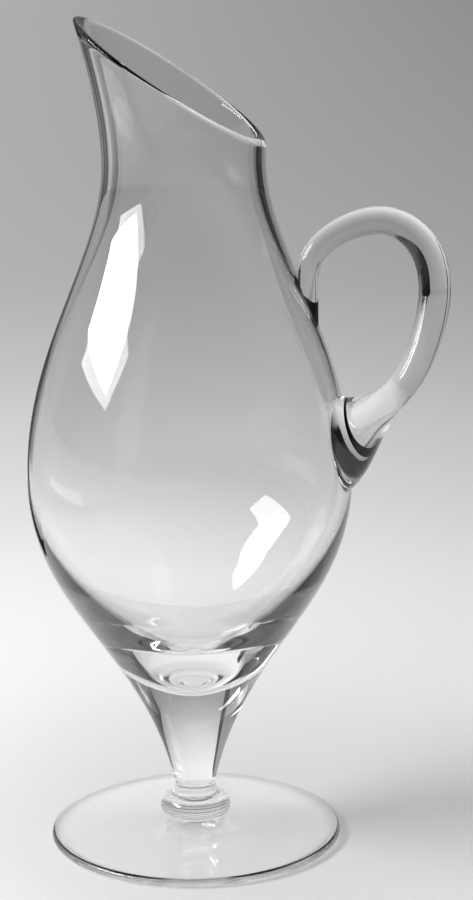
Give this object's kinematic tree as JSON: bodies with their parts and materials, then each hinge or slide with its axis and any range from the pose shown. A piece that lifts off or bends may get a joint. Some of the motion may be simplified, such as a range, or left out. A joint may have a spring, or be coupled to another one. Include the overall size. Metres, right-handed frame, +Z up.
{
  "type": "cocktail pitcher",
  "caption": "Footed clear-glass cocktail pitcher with a slanted flared mouth, a drawn stem with a ring knop, a round foot and a looped rod handle, for pouring mixed drinks.",
  "frame": {"origin": "centre of the foot's resting plane, on the stem's axis", "axes": "+Z up along the stem's axis, +X from the axis toward the handle, -X toward the high pouring lip"},
  "size_m": [0.1709, 0.1314, 0.3394],
  "materials": {
    "clear_glass": "fire-polished clear glass"
  },
  "bodies": {
    "root": {"bowl": "clear_glass", "stem": "clear_glass", "knop": "clear_glass", "foot": "clear_glass", "handle": "clear_glass"}
  },
  "joints": []
}
